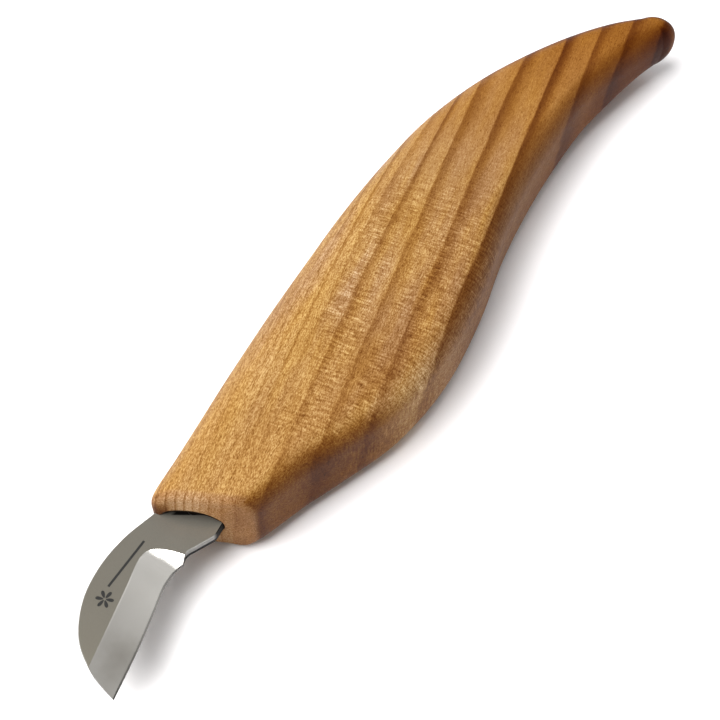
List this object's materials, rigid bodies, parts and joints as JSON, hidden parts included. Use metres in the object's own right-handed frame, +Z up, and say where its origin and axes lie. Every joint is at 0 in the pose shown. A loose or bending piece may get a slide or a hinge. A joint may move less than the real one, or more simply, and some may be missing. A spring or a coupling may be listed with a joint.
{
  "type": "whittling knife",
  "caption": "Short hooked carving blade whose tang is glued into a curved hardwood handle, for whittling and chip carving.",
  "frame": {"origin": "under the middle of the knife's box, on the surface that it lies on", "axes": "+X along the knife from the blade's tip to the handle's tail, +Y from the cutting edge towards the spine, +Z up through the thickness"},
  "size_m": [0.1668, 0.0364, 0.019],
  "materials": {
    "handle_wood": "satin, lightly oiled hardwood with orange-brown growth rings",
    "blade_steel": "satin carbon steel, ground brighter on the bevels",
    "adhesive": "cured clear amber adhesive"
  },
  "bodies": {
    "root": {"handle": "handle_wood", "blade": "blade_steel", "tang_adhesive": "adhesive"}
  },
  "joints": []
}
